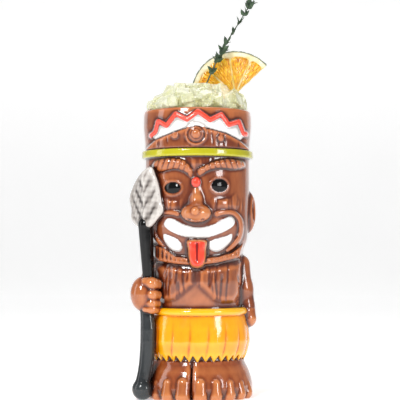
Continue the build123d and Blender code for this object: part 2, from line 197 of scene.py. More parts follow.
def curve_through(points, closed, pieces=6):
    """Points on a smooth curve through the given ones."""
    p = np.array(points, float)
    n = len(p)
    spans = n if closed else n - 1
    out = []
    for i in range(spans):
        ids = [(i + k) % n if closed else min(max(i + k, 0), n - 1) for k in (-1, 0, 1, 2)]
        a, b, c, d = p[ids]
        for t in np.linspace(0, 1, pieces, endpoint=False):
            second = (2 * a - 5 * b + 4 * c - d) * t**2
            third = (3 * b - a - 3 * c + d) * t**3
            out.append(0.5 * (2 * b + (c - a) * t + second + third))
    if not closed:
        out.append(p[-1])
    return np.array(out)


# ---- flat maps over the front, (x, z), in which the relief is drawn ----
map_x = np.arange(-46, 40, MAP_STEP)
map_z = np.arange(-2, RIM + 3, MAP_STEP)
MX, MZ = np.meshgrid(map_x, map_z, indexing="ij")


def line_distance(points):
    best = np.full(MX.shape, 1e6)
    for (ax, az), (bx, bz) in zip(points[:-1], points[1:]):
        dx, dz = bx - ax, bz - az
        t = np.clip(((MX - ax) * dx + (MZ - az) * dz) / (dx * dx + dz * dz + 1e-9), 0, 1)
        best = np.minimum(best, (MX - ax - t * dx) ** 2 + (MZ - az - t * dz) ** 2)
    return np.sqrt(best)


def area(points, smooth=True):
    """Signed distance to an outline, negative inside."""
    edge = curve_through(points, True) if smooth else np.array(points, float)
    ring = np.vstack([edge, edge[:1]])
    inside = np.zeros(MX.shape, bool)
    for (ax, az), (bx, bz) in zip(ring[:-1], ring[1:]):
        if az != bz:
            crosses = ((az > MZ) != (bz > MZ)) & (MX < (bx - ax) * (MZ - az) / (bz - az) + ax)
            inside ^= crosses
    distance = line_distance(ring)
    return np.where(inside, -distance, distance)


def oval_area(x, z, half_width, half_height):
    k0 = np.hypot((MX - x) / half_width, (MZ - z) / half_height)
    k1 = np.hypot((MX - x) / half_width**2, (MZ - z) / half_height**2) + 1e-6
    return k0 * (k0 - 1) / k1


def pad(distance, height, edge):
    """A flat-topped pad with a rounded edge."""
    return height * ramp(-distance, 0, edge)


def dome(distance, height, width):
    t = np.clip(-distance / width, 0, 1)
    return height * np.sqrt(t * (2 - t))


def bead(distance, height, half_width):
    return height * np.sqrt(np.clip(1 - (distance / half_width) ** 2, 0, 1))


def blob(x, z, sx, sz):
    return np.exp(-(((MX - x) / sx) ** 2 + ((MZ - z) / sz) ** 2))


def mirror(points):
    return [(-x, z) for x, z in points]


AREAS = {
    "headdress_arch": area([*ARCH, (33, 154.4), (-33, 154.4)], smooth=False),
    "headdress_panel": area([*ARCH[1:-1], *ZIGZAG[::-1]], smooth=False),
    "zigzag_cord": line_distance(ZIGZAG) - 1.5,
    "rosette": np.hypot(MX - ROSETTE[0], MZ - ROSETTE[1]) - ROSETTE[2],
    "brow_left": area(BROW_LEFT),
    "brow_right": area(BROW_RIGHT),
    "forehead_dot": oval_area(-0.8, 133.7, 2.8, 3.1),
    "tongue_rim": area(TONGUE),
    "cheek_fold_left": line_distance(curve_through(FOLD, False)) - 1.9,
    "cheek_fold_right": line_distance(curve_through(mirror(FOLD), False)) - 1.9,
    "chin_fringe": area(FRINGE, smooth=False),
    "chest_left": area(CHEST["left"], smooth=False),
    "chest_right": area(CHEST["right"], smooth=False),
}
AREAS["tongue"] = AREAS["tongue_rim"] + 1.5
for name, outline in TEETH.items():
    AREAS[name] = area(outline)
for side, (x, z) in STUDS.items():
    AREAS[f"rosette_stud_{side}"] = np.hypot(MX - x, MZ - z) - 2.4
for side, oval in EYES.items():
    AREAS[f"eye_{side}"] = oval_area(*oval)
    AREAS[f"eyelid_{side}"] = np.abs(AREAS[f"eye_{side}"] - 0.8) - 0.8


def grain(rng, low, high, count, depth, width, lean=0.0):
    """Shallow wavy furrows that run up and down, as cut by a gouge."""
    cut = np.zeros(MX.shape)
    for _ in range(count):
        x0 = rng.uniform(-34, 34)
        z0 = rng.uniform(low, high)
        z1 = min(z0 + rng.uniform(8, 26), high)
        wave = 0.7 * np.sin(MZ / rng.uniform(4, 8) + rng.uniform(0, 6))
        off = np.abs(MX - x0 - wave - lean * (MZ - z0)) / (width * rng.uniform(0.7, 1.3))
        ends = ramp(MZ, z0 - 2, z0 + 2) * (1 - ramp(MZ, z1 - 2, z1 + 2))
        cut = np.maximum(cut, depth * rng.uniform(0.6, 1) * ends * np.clip(1 - off**2, 0, 1))
    return cut


def under_pads(rng):
    """The wall of the head: its grain, the cheeks, the eye sockets and the open mouth."""
    height = -grain(rng, 98, 148, 46, 0.45, 0.9) - grain(rng, 156, 178, 16, 0.3, 0.8)
    height += 1.5 * blob(19, 120.5, 7, 4.5) + 1.5 * blob(-19, 119.5, 7, 4.5) + 1.0 * blob(0, 146, 12, 4)
    height -= 1.6 * ramp(-oval_area(14.6, 132.0, 10.0, 8.8), -1.0, 2.5)
    height -= 1.6 * ramp(-oval_area(-14.4, 131.4, 9.2, 8.6), -1.0, 2.5)
    mouth = area(MOUTH)
    return height * ramp(mouth, -0.5, 1.0) - 1.6 * ramp(-mouth, -0.4, 1.2)


def face(height):
    """Brows, eyes with their lids, folds round the mouth, the dot and the teeth."""
    for side, x_sign in (("left", 1), ("right", -1)):
        brow = dome(AREAS[f"brow_{side}"], 2.8, 4.2)
        beat = (MX * x_sign * 0.94 + (MZ - 145) * 0.34) / 3.3
        notch = np.clip(1 - np.abs(beat - np.round(beat)) * 3.3 / 0.75, 0, 1)
        height = np.maximum(height, brow - 0.7 * notch * ramp(brow, 0.6, 1.8))
        eye = AREAS[f"eye_{side}"]
        height = np.maximum(height, dome(eye, 1.6, 4.0) - 0.9)
        lid = bead(eye - 0.8, 1.2, 1.0) - 0.9
        height = np.where(np.abs(eye - 0.8) < 1.0, np.maximum(height, lid), height)
        fold = AREAS[f"cheek_fold_{side}"]
        height = np.maximum(height, bead(np.maximum(fold + 1.9, 0), 1.3, 1.7))
    height = np.maximum(height, dome(AREAS["forehead_dot"], 1.8, 2.4))
    for name in TEETH:
        height = np.maximum(height, pad(AREAS[name], 2.4, 1.5) - 1.6)
    return height


def chin(height):
    """The jaw and the tongue, which hang as far out as the head over the narrower chest."""
    wall = wall_radius(MZ)
    fringe_cut = np.clip(1 - np.abs((MX / 2.7) - np.round(MX / 2.7)) * 2.7 / 0.7, 0, 1)
    fringe = smooth_min(AREAS["chin_fringe"], area(JAW, smooth=False), 1.0)
    jaw = 32.4 - wall - 0.75 * fringe_cut * ramp(94 - MZ, -3, 1)
    height = np.where(fringe < 0, np.maximum(height, jaw * ramp(-fringe, 0, 1.3)), height)
    tongue = AREAS["tongue_rim"]
    groove = 0.9 * np.clip(1 - (np.abs(MX + 0.2) / 0.9) ** 2, 0, 1) * ramp(MZ, 84, 86)
    lip = bead(tongue + 0.9, 0.5, 0.9) - groove
    tongue_height = 35.0 - wall + lip
    rounded = tongue_height * np.sqrt(ramp(-tongue, 0, 2.4))
    return np.where(tongue < 0, np.maximum(height, rounded), height)


def headdress(height, rng):
    arch = AREAS["headdress_arch"]
    arch_grain = grain(rng, 155, 168, 40, 0.45, 0.7)
    height = np.maximum(height, pad(arch, 1.7, 0.9) - arch_grain * ramp(-arch, 0.4, 1.2))
    height = np.maximum(height, pad(AREAS["headdress_panel"], 0.5, 0.6))
    height = np.maximum(height, bead(AREAS["zigzag_cord"] + 1.5, 2.1, 1.7))
    disc = np.hypot(MX - ROSETTE[0], MZ - ROSETTE[1])
    disc_height = pad(disc - ROSETTE[2], 2.4, 1.2) - bead(disc - 5.2, 1.0, 0.8)
    height = np.maximum(height, disc_height + bead(np.minimum(disc, 2.8), 1.6, 2.8))
    for side in STUDS:
        height = np.maximum(height, dome(AREAS[f"rosette_stud_{side}"], 3.2, 2.4))
    return height


def draw_relief():
    """Height of the clay over the plain wall, over the front of the mug."""
    rng = np.random.default_rng(7)
    height = chin(face(under_pads(rng)))
    strokes = grain(rng, 60, 84, 34, 0.5, 0.8)
    for side in ("left", "right"):
        plate = AREAS[f"chest_{side}"]
        height = np.maximum(height, pad(plate, 1.9, 4.5) - strokes * ramp(-plate, 0.5, 2.5))
    return headdress(height, rng)


def sample(table, x, z):
    """A map's value at each (x, z), between its points."""
    u = np.clip((x - map_x[0]) / MAP_STEP, 0, len(map_x) - 1.001)
    v = np.clip((z - map_z[0]) / MAP_STEP, 0, len(map_z) - 1.001)
    i, j = u.astype(int), v.astype(int)
    a, b = u - i, v - j
    low = table[i, j] * (1 - a) + table[i + 1, j] * a
    high = table[i, j + 1] * (1 - a) + table[i + 1, j + 1] * a
    return low * (1 - b) + high * b


# ---- solids ----
def ellipsoid(centre, radii):
    def distance(x, y, z):
        dx, dy, dz = x - centre[0], y - centre[1], z - centre[2]
        k0 = np.sqrt((dx / radii[0]) ** 2 + (dy / radii[1]) ** 2 + (dz / radii[2]) ** 2)
        slope = (dx / radii[0] ** 2) ** 2 + (dy / radii[1] ** 2) ** 2 + (dz / radii[2] ** 2) ** 2
        return k0 * (k0 - 1) / (np.sqrt(slope) + 1e-6)

    reach = max(radii)
    return distance, [v - reach for v in centre], [v + reach for v in centre]


def limb(stations, join=1.5):
    """A rounded limb through (x, y, z, radius) stations."""
    def distance(x, y, z):
        best = None
        for near, far in zip(stations[:-1], stations[1:]):
            run = [far[k] - near[k] for k in range(3)]
            length = sum(v * v for v in run)
            px, py, pz = x - near[0], y - near[1], z - near[2]
            t = np.clip((px * run[0] + py * run[1] + pz * run[2]) / length, 0, 1)
            gap = np.sqrt((px - t * run[0]) ** 2 + (py - t * run[1]) ** 2 + (pz - t * run[2]) ** 2)
            gap = gap - (near[3] + (far[3] - near[3]) * t)
            best = gap if best is None else smooth_min(best, gap, join)
        return best

    low = [min(s[k] - s[3] for s in stations) for k in range(3)]
    high = [max(s[k] + s[3] for s in stations) for k in range(3)]
    return distance, low, high


def spear_blade():
    """The leaf-shaped head: its outline from the front, between a flat back and a ridged front."""
    outline = area(SPEAR_OUTLINE)
    turn = math.radians(SPEAR_FACING)
    facing = (-math.sin(turn), -math.cos(turn))
    across = (-math.cos(turn), math.sin(turn))

    def distance(x, y, z):
        x, y, z = np.broadcast_arrays(x, y, z)
        out = x * facing[0] + y * facing[1]
        along = x * across[0] + y * across[1]
        front = 39.4 - 0.26 * np.abs(along - 11.5 - 0.04 * (z - 125))
        flat = sample(outline, x, z)
        veins = 0.3 * np.sin((z - np.abs(along - 11.5) * 1.3) * 0.62) * ramp(-flat, 0.5, 3.5)
        chips = 0.2 * np.sin(z * 1.3 + along) * np.sin(along * 1.1 - z * 0.6 + 1)
        barbs = veins + chips * 0.6
        return smooth_max(smooth_max(flat, out - front - barbs, 2.4), 28.5 - out, 1.5)

    return distance, [-43.5, -40, 105], [-19, 2, 145]


def ring(radius, height, minor):
    def distance(x, y, z):
        return np.hypot(np.hypot(x, y) - radius, z - height) - minor

    reach = radius + minor
    return distance, [-reach, -reach, height - minor], [reach, reach, height + minor]


def angle_of(x, y):
    return np.arctan2(x, -y)


def skirt_solid():
    skirt_radius = profile([
        (28.6, 20), (29.6, 24), (31.6, 28), (33.1, 35), (32.5, 44), (31.0, 52), (30.6, 56),
    ])

    def distance(x, y, z):
        theta = angle_of(x, y)
        beat = theta * PLEATS / (2 * math.pi)
        saw = np.abs(beat - np.round(beat)) * 2
        fold = 0.9 * np.sqrt(np.abs(np.cos(theta * 9 + 0.4 * np.sin(z / 9)))) - 0.55
        hem = 23.2 + 4.6 * saw
        skirt = np.hypot(x, y) - skirt_radius(z) - fold * ramp(-z, -52, -34)
        return smooth_max(smooth_max(skirt, hem - z, 0.8), z - 53, 1.0)

    return distance, [-35, -35, 21], [35, 35, 55]


def leg_solid(side):
    """A foot and ankle that take up half of the way round."""
    foot_radius = profile([
        (31.2, -1), (33.4, 0.8), (34.8, 4), (35.0, 8), (34.0, 12.5), (32.2, 17.5), (29.8, 22), (28.6, 26),
    ])
    sign = 1 if side == "left" else -1
    crease = math.radians(CREASE)

    def distance(x, y, z):
        theta = angle_of(x, y) - crease
        theta = (theta + math.pi) % (2 * math.pi) - math.pi
        radius = np.hypot(x, y)
        front_gap = radius * np.sin(np.clip(sign * theta, -1.5, 1.5))
        back_gap = radius * np.sin(np.clip(math.pi - sign * theta, -1.5, 1.5))
        half = np.where(sign * theta > math.pi / 2, back_gap, front_gap)
        half = np.where(sign * theta < -math.pi / 2, -radius, half)
        return smooth_max(smooth_max(radius - foot_radius(z), 0.35 - half, 3.0), z - 24, 1.0)

    return distance, [-37, -37, -1], [37, 37, 26]


# ---- the clay ----
class Clay:
    """A block of space that holds a distance field, in millimetres."""

    def __init__(self, low, high, step):
        self.low, self.step = np.array(low, float), step
        self.axes = [np.arange(low[k], high[k], step) for k in range(3)]
        self.field = np.full([len(a) for a in self.axes], 50.0, np.float32)

    def window(self, low, high, margin=3.0):
        cut = []
        for k in range(3):
            start = int(max(0, math.floor((low[k] - margin - self.low[k]) / self.step)))
            stop = int(min(len(self.axes[k]), math.ceil((high[k] + margin - self.low[k]) / self.step)))
            cut.append(slice(start, stop))
        x = self.axes[0][cut[0]][:, None, None]
        y = self.axes[1][cut[1]][None, :, None]
        z = self.axes[2][cut[2]][None, None, :]
        return tuple(cut), x, y, z

    def add(self, solid, blend=0.4):
        distance, low, high = solid
        cut, x, y, z = self.window(low, high)
        self.field[cut] = smooth_min(self.field[cut], distance(x, y, z), blend)

    def carve(self, solid, blend=0.4):
        distance, low, high = solid
        cut, x, y, z = self.window(low, high)
        self.field[cut] = smooth_max(self.field[cut], -distance(x, y, z), blend)


def blurred(field, reach):
    """The field averaged over a cube, one axis at a time."""
    out = field
    width = 2 * reach + 1
    for axis in range(3):
        pads = [(reach + 1, reach) if k == axis else (0, 0) for k in range(3)]
        total = np.cumsum(np.pad(out, pads, mode="edge"), axis=axis, dtype=np.float64)
        upper = np.take(total, range(width, total.shape[axis]), axis=axis)
        lower = np.take(total, range(0, total.shape[axis] - width), axis=axis)
        out = ((upper - lower) / width).astype(np.float32)
    return out


HEAD_SOLIDS = {
    "nose": ellipsoid((-0.8, -33.6, 114.8), (9.0, 7.6, 5.6)),
    "ear_left": ellipsoid((31.8, 1, 116.4), (5.6, 6.4, 13.6)),
    "ear_right": ellipsoid((-31.8, 1, 116.4), (5.6, 6.4, 13.6)),
}
BRIDGE = limb([(-0.6, -31.6, 130, 2.3), (-0.7, -32.6, 123, 3.4), (-0.8, -34.0, 117, 5.0)])
NOSE_STUD = limb([(-1.3, -39.2, 115.7, 2.9), (-1.3, -40.2, 115.7, 2.5)])
HANDS = {
    "arm_left": limb(LEFT_ARM, 4),
    "hand_left": limb([(30.6, -2.4, 52.6, 6.3), (31.9, -3.0, 48.8, 5.4)]),
    "arm_right": limb(RIGHT_ARM, 4),
    "fist_right": ellipsoid((-33.4, -18.8, 65.0), (8.1, 8.9, 10.9)),
}
FINGER_LIMBS = [
    limb([(-31.6, -23.4, h, r), (-27.9, -24.6, h - 0.4, r), (-25.2, -21.6, h - 0.8, r * 0.95)])
    for h, r in FINGERS
]
SPEAR = {
    "spear_head": spear_blade(),
    "spear_shaft_upper": limb(UPPER_SHAFT),
    "spear_shaft_lower": limb(LOWER_SHAFT, 0.1),
    "spear_butt": ellipsoid((-33.8, -21.2, 6.4), (6.3, 6.3, 6.4)),
}
TOE_LIMBS = {
    side: [limb([(*around(a, 32.6, 3.4), w + 0.1), (*around(a, 31.4, h - w), w - 0.2)]) for a, w, h in row]
    for side, row in TOES.items()
}
SKIRT = skirt_solid()
WAIST = ring(29.9, 53.9, 2.3)
LEGS = {side: leg_solid(side) for side in ("left", "right")}


def plain_body(clay):
    """The vessel's outside with its relief in front, its grain behind and its headband."""
    _, x, y, z = clay.window((-50, -50, -5), (50, 50, 200))
    shape = clay.field.shape
    radius = np.hypot(x, y)
    body = radius - wall_radius(z)
    near = np.broadcast_to(np.abs(body) < 8, shape) & np.broadcast_to(y < 0, shape)
    xs, ys, zs = [np.broadcast_to(v, shape)[near] for v in (x, y, z)]
    relief = sample(draw_relief(), xs, zs) * ramp(-ys, 1.0, 6.0)
    body = body.astype(np.float32)
    body[near] -= relief.astype(np.float32) * 0.96
    theta = angle_of(x, y)
    back = 1 - ramp(-y, -2.0, 3.0)
    beat = np.sin(theta * 31 + 1.5 * np.sin(z / 9 + 2 * theta) + 3 * np.sin(theta * 4))
    patchy = 0.5 + 0.5 * np.sin(z / 7 + 5 * np.sin(theta * 6)) * np.sin(theta * 9 + z / 23)
    furrow = 0.32 * patchy * np.clip(beat * 2 - 1, 0, 1)
    body += (furrow * back * ramp(z, 97, 101) * (1 - ramp(z, 174, 177))).astype(np.float32)
    band_out = smooth_max(radius - 35.3, np.abs(z - sum(BAND) / 2) - (BAND[1] - BAND[0]) / 2, 1.3)
    body = smooth_min(body, band_out + 0 * y, 0.35)
    topped = smooth_max(body, z - RIM + 0 * radius, 1.0)
    return smooth_max(topped, -z + 0 * radius, 1.2).astype(np.float32)


def sculpt():
    """The whole of the fired clay: what is added to the body and cut from it, in the order of the work."""
    clay = Clay((-47, -46, -2.4), (46, 42, 183.6), STEP)
    clay.field = plain_body(clay)
    clay.add(BRIDGE, 2.4)
    clay.add(HEAD_SOLIDS["nose"], 1.6)
    clay.add(NOSE_STUD, 0.3)
    for x_sign in (-1, 1):
        clay.carve(ellipsoid((-0.8 + x_sign * 4.6, -38.2, 110.2), (1.7, 2.6, 1.1)), 0.8)
    for side, x_sign in (("left", 1), ("right", -1)):
        clay.add(HEAD_SOLIDS[f"ear_{side}"], 1.2)
        clay.carve(ellipsoid((x_sign * 37.6, -1.6, 117.4), (3.4, 3.4, 8.0)), 1.0)
    clay.add(SKIRT, 0.5)
    clay.add(WAIST, 0.5)
    for side, row in TOE_LIMBS.items():
        clay.add(LEGS[side], 0.8)
        for toe in row:
            clay.add(toe, 0.5)
    clay.add(HANDS["arm_left"], 1.6)
    clay.add(HANDS["hand_left"], 1.4)
    for finger in range(3):
        y = -6.5 + finger * 3.1
        clay.carve(limb([(38.6, y, 51, 0.5), (37.2, y - 0.3, 44, 0.5)]), 0.7)
    clay.add(HANDS["arm_right"], 2.0)
    clay.add(SPEAR["spear_shaft_upper"], 0.8)
    clay.add(SPEAR["spear_shaft_lower"], 0.8)
    clay.add(SPEAR["spear_butt"], 1.5)
    clay.add(SPEAR["spear_head"], 0.8)
    clay.add(HANDS["fist_right"], 0.8)
    for finger in FINGER_LIMBS:
        clay.add(finger, 0.5)
    _, x, y, z = clay.window((-50, -50, -5), (50, 50, 200))
    inside = np.maximum(np.hypot(x, y) - hollow_radius(z), FLOOR - z)
    clay.field = smooth_max(clay.field, -inside, 1.2).astype(np.float32)
    clay.field = np.maximum(clay.field, -z).astype(np.float32)
    return clay


# ---- meshes ----
def mesh_object(name, verts, faces, values=None):
    """An object from points in millimetres, smooth shaded, with its surface's relief stored on it."""
    mesh = bpy.data.meshes.new(name)
    mesh.vertices.add(len(verts))
    mesh.vertices.foreach_set("co", (np.asarray(verts, np.float32) * MM).ravel())
    faces = np.asarray(faces, np.int32)
    mesh.loops.add(faces.size)
    mesh.loops.foreach_set("vertex_index", faces.ravel())
    mesh.polygons.add(len(faces))
    mesh.polygons.foreach_set("loop_start", np.arange(0, faces.size, faces.shape[1], dtype=np.int32))
    mesh.polygons.foreach_set("use_smooth", np.ones(len(faces), bool))
    mesh.update(calc_edges=True)
    mesh.validate()
    if values is not None:
        layer = mesh.attributes.new("relief", "FLOAT", "POINT")
        layer.data.foreach_set("value", np.asarray(values, np.float32))
    piece = bpy.data.objects.new(name, mesh)
    bpy.context.scene.collection.objects.link(piece)
    return piece


def surface(field, low, step):
    """Points and quads of the field's zero level, facing outwards."""
    grid = openvdb.FloatGrid(3 * step)
    padded = np.pad(np.clip(field, -3 * step, 3 * step), 1, constant_values=3 * step).astype(np.float32)
    grid.copyFromArray(padded, tolerance=0)
    points, quads = grid.convertToQuads(isovalue=0)
    return (points - 1) * step + np.asarray(low), quads[:, ::-1]


def at_points(table, clay_low, step, points):
    """The value of a 3-D table at each point."""
    u = (points - clay_low) / step
    u = np.clip(u, 0, np.array(table.shape) - 1.001)
    i = u.astype(int)
    f = u - i
    total = 0
    for corner in range(8):
        d = [(corner >> k) & 1 for k in range(3)]
        weight = np.prod([f[:, k] if d[k] else 1 - f[:, k] for k in range(3)], axis=0)
        total = total + weight * table[i[:, 0] + d[0], i[:, 1] + d[1], i[:, 2] + d[2]]
    return total


clay = sculpt()
crests = blurred(blurred(clay.field, 2), 2) - clay.field  # above 0 on edges and crests, below it in grooves; the glazes use it for painted shade in the grooves and painted highlight on the crests


def cast(name, node, solid, slot, raised):
    """Cut a piece from the clay where `solid` covers it, raised by its glaze."""
    distance, low, high = solid
    cut, x, y, z = clay.window(low, high, 2.0)
    field = clay.field[cut] - raised
    field = smooth_max(field, distance(x, y, z), 0.3)
    start = [clay.axes[k][cut[k].start] for k in range(3)]
    points, quads = surface(field, start, STEP)
    piece = mesh_object(name, points, quads, at_points(crests, clay.low, STEP, points))
    finish_piece(piece, slot, "mug", node)


def finish_piece(piece, slot, body, node):
    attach(piece, body)
    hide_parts(node)
    piece.data.materials.append(MATERIALS[slot])


def grown(solid, by):
    distance, low, high = solid
    return (lambda x, y, z: distance(x, y, z) - by), [v - by for v in low], [v + by for v in high]


def union(solids):
    lows = np.min([s[1] for s in solids], axis=0)
    highs = np.max([s[2] for s in solids], axis=0)
    return (lambda x, y, z: np.minimum.reduce([s[0](x, y, z) for s in solids])), list(lows), list(highs)


def patch(name, spread=0.0):
    """The part of the front that one drawn area covers, as a thin shell."""
    table = AREAS[name] - spread
    inside = table < 0
    low = [float(MX[inside].min()), -46.0, float(MZ[inside].min())]
    high = [float(MX[inside].max()), 0.0, float(MZ[inside].max())]

    def distance(x, y, z):
        shape = np.broadcast_shapes(x.shape, y.shape, z.shape)
        flat = sample(table, np.broadcast_to(x, shape), np.broadcast_to(z, shape))
        under = wall_radius(z) - SKIN - 1.8 - np.hypot(x, y)
        return np.maximum(np.maximum(flat, y + 2.0), under)

    return distance, low, high


# ---- materials ----
class Shader:
    """Builds one material, node by node."""

    def __init__(self, name):
        self.material = bpy.data.materials.new(name)
        self.material.use_nodes = True
        self.tree = self.material.node_tree
        self.shader = self.tree.nodes["Principled BSDF"]
        self.output = self.tree.nodes["Material Output"]
        self.place = self.node("ShaderNodeTexCoord").outputs["Object"]

    def node(self, kind, **settings):
        made = self.tree.nodes.new(kind)
        for key, value in settings.items():
            setattr(made, key, value)
        return made

    def join(self, source, target):
        self.tree.links.new(source, target)

    def math(self, operation, a, b=None):
        made = self.node("ShaderNodeMath", operation=operation)
        for slot, value in enumerate((a, b)):
            if value is None:
                continue
            if isinstance(value, (int, float)):
                made.inputs[slot].default_value = value
            else:
                self.join(value, made.inputs[slot])
        return made.outputs[0]

    def noise(self, scale, detail=3.0, rough=0.5, stretch=None, distortion=0.0):
        made = self.node("ShaderNodeTexNoise")
        made.inputs["Scale"].default_value = scale
        made.inputs["Detail"].default_value = detail
        made.inputs["Roughness"].default_value = rough
        made.inputs["Distortion"].default_value = distortion
        if stretch:
            mapping = self.node("ShaderNodeMapping")
            mapping.inputs["Scale"].default_value = stretch
            self.join(self.place, mapping.inputs["Vector"])
            self.join(mapping.outputs[0], made.inputs["Vector"])
        else:
            self.join(self.place, made.inputs["Vector"])
        return made.outputs["Fac"]

    def colours(self, factor, stops):
        made = self.node("ShaderNodeValToRGB")
        elements = made.color_ramp.elements
        while len(elements) < len(stops):
            elements.new(0.5)
        for element, (position, colour) in zip(elements, stops):
            element.position = position
            element.color = (*[linear(c) for c in colour], 1)
        self.join(factor, made.inputs["Fac"])
        return made.outputs["Color"]

    def mix(self, factor, a, b):
        """Colour `a` where the factor is 0 and `b`, an output or a plain colour, where it is 1."""
        made = self.node("ShaderNodeMix", data_type="RGBA")
        self.join(factor, made.inputs["Factor"])
        self.join(a, made.inputs[6])
        if isinstance(b, tuple):
            made.inputs[7].default_value = (*[linear(c) for c in b], 1)
        else:
            self.join(b, made.inputs[7])
        return made.outputs[2]

    def span(self, value, low, high, to_low, to_high):
        made = self.node("ShaderNodeMapRange")
        for key, number in (("From Min", low), ("From Max", high), ("To Min", to_low), ("To Max", to_high)):
            made.inputs[key].default_value = number
        self.join(value, made.inputs["Value"])
        return made.outputs["Result"]

    def bump(self, height, strength, distance):
        made = self.node("ShaderNodeBump")
        made.inputs["Strength"].default_value = strength
        made.inputs["Distance"].default_value = distance
        self.join(height, made.inputs["Height"])
        self.join(made.outputs["Normal"], self.shader.inputs["Normal"])


def linear(value):
    value = value / 255
    return value / 12.92 if value <= 0.04045 else ((value + 0.055) / 1.055) ** 2.4


def glaze(name, groove, body, crest, rough=(0.08, 0.2), speckle=None, coat=0.8, ior=1.5):
    """A running glaze, darker in the grooves and lighter over the crests: partly the glaze pooling and
    thinning, partly painted shade in the grooves and painted highlight on the crests.
    """
    s = Shader(name)
    relief = s.node("ShaderNodeAttribute", attribute_name="relief").outputs["Fac"]
    flow = s.noise(70, 4, 0.6, (1, 1, 0.35), 0.4)
    shade = s.span(relief, -0.3, 0.3, 0, 1)
    shade = s.math("ADD", shade, s.span(flow, 0.3, 0.7, -0.16, 0.16))
    # groove colour: the glaze's pooling plus painted shade; crest colour: its thinning plus painted
    # highlight
    colour = s.colours(shade, [(0.12, groove), (0.5, body), (0.92, crest)])
    if speckle:
        dots = s.noise(1500, 2, 0.6)
        colour = s.mix(s.span(dots, 0.64, 0.7, 0, 0.75), colour, speckle)
    s.join(colour, s.shader.inputs["Base Color"])
    s.join(s.span(s.noise(240, 3), 0.3, 0.7, *rough), s.shader.inputs["Roughness"])
    s.shader.inputs["Coat Weight"].default_value = coat
    s.shader.inputs["Coat Roughness"].default_value = 0.03
    s.shader.inputs["IOR"].default_value = ior
    s.bump(s.noise(260, 3, 0.5, (1, 1, 0.5)), 0.45, 0.0004)
    return s.material


def crushed_ice():
    s = Shader("crushed_ice_look")
    streak = s.noise(60, 5, 0.65, (1.6, 1.6, 0.5), 0.8)
    colour = s.colours(streak, [(0.3, (206, 206, 146)), (0.5, (232, 232, 192)), (0.72, (250, 250, 232))])
    s.join(colour, s.shader.inputs["Base Color"])
    s.join(s.span(s.noise(500, 3), 0.3, 0.7, 0.12, 0.34), s.shader.inputs["Roughness"])
    s.join(s.span(streak, 0.35, 0.7, 0.5, 0.12), s.shader.inputs["Transmission Weight"])
    s.shader.inputs["Subsurface Weight"].default_value = 0.45
    s.shader.inputs["Subsurface Radius"].default_value = (0.006, 0.0055, 0.004)
    s.shader.inputs["Subsurface Scale"].default_value = 1.0
    s.shader.inputs["IOR"].default_value = 1.31
    s.bump(s.noise(420, 4, 0.6), 0.5, 0.0006)
    return s.material


def citrus_polar(s):
    """How far a point is from the slice's middle, and at what angle in the slice's plane."""
    shifted = s.node("ShaderNodeVectorMath", operation="SUBTRACT")
    shifted.inputs[1].default_value = [v * MM for v in CITRUS_CENTRE]
    s.join(s.place, shifted.inputs[0])
    parts = s.node("ShaderNodeSeparateXYZ")
    s.join(shifted.outputs[0], parts.inputs[0])
    flat = s.node("ShaderNodeCombineXYZ")
    s.join(parts.outputs["X"], flat.inputs["X"])
    s.join(parts.outputs["Z"], flat.inputs["Y"])
    length = s.node("ShaderNodeVectorMath", operation="LENGTH")
    s.join(flat.outputs[0], length.inputs[0])
    angle = s.math("ARCTAN2", parts.outputs["Z"], parts.outputs["X"])
    return length.outputs["Value"], angle


def citrus_pulp():
    s = Shader("citrus_pulp_look")
    radius, angle = citrus_polar(s)
    vector = s.node("ShaderNodeCombineXYZ")
    s.join(s.math("MULTIPLY", angle, 9.0), vector.inputs["X"])
    s.join(s.math("MULTIPLY", radius, 130.0), vector.inputs["Y"])
    sacs = s.node("ShaderNodeTexNoise")
    sacs.inputs["Scale"].default_value = 2.6
    sacs.inputs["Detail"].default_value = 4
    sacs.inputs["Distortion"].default_value = 0.6
    s.join(vector.outputs[0], sacs.inputs["Vector"])
    strands = sacs.outputs["Fac"]
    colour = s.colours(strands, [
        (0.30, (176, 96, 2)), (0.46, (222, 150, 4)), (0.57, (240, 184, 12)), (0.70, (255, 232, 110)),
    ])
    deep = s.colours(strands, [(0.3, (150, 70, 12)), (0.7, (220, 150, 30))])
    blotches = s.span(s.noise(170, 3), 0.42, 0.62, 0, 1)
    edge = s.math("MULTIPLY", s.span(radius, 0.0205, 0.0245, 0, 0.8), blotches)
    s.join(s.mix(edge, colour, deep), s.shader.inputs["Base Color"])
    s.join(s.span(strands, 0.3, 0.7, 0.12, 0.3), s.shader.inputs["Roughness"])
    s.shader.inputs["Subsurface Weight"].default_value = 0.35
    s.shader.inputs["Subsurface Radius"].default_value = (0.004, 0.002, 0.0008)
    s.shader.inputs["Subsurface Scale"].default_value = 1.0
    s.shader.inputs["Coat Weight"].default_value = 0.4
    s.bump(strands, 0.7, 0.0006)
    return s.material


def citrus_pith():
    s = Shader("citrus_pith_look")
    radius, _ = citrus_polar(s)
    fibre = s.noise(260, 4, 0.6)
    pale = s.colours(fibre, [(0.3, (232, 212, 150)), (0.6, (252, 240, 206)), (0.8, (255, 250, 232))])
    warm = s.colours(fibre, [(0.3, (205, 160, 40)), (0.7, (238, 205, 90))])
    blotches = s.span(s.noise(110, 3), 0.4, 0.6, 0.2, 1)
    inner = s.math("MULTIPLY", s.span(radius, 0.026, 0.0235, 0, 0.9), blotches)
    s.join(s.mix(inner, pale, warm), s.shader.inputs["Base Color"])
    s.join(s.span(fibre, 0.3, 0.7, 0.4, 0.65), s.shader.inputs["Roughness"])
    s.shader.inputs["Subsurface Weight"].default_value = 0.3
    s.shader.inputs["Subsurface Radius"].default_value = (0.003, 0.0025, 0.0015)
    s.shader.inputs["Subsurface Scale"].default_value = 1.0
    s.bump(fibre, 0.4, 0.0003)
    return s.material


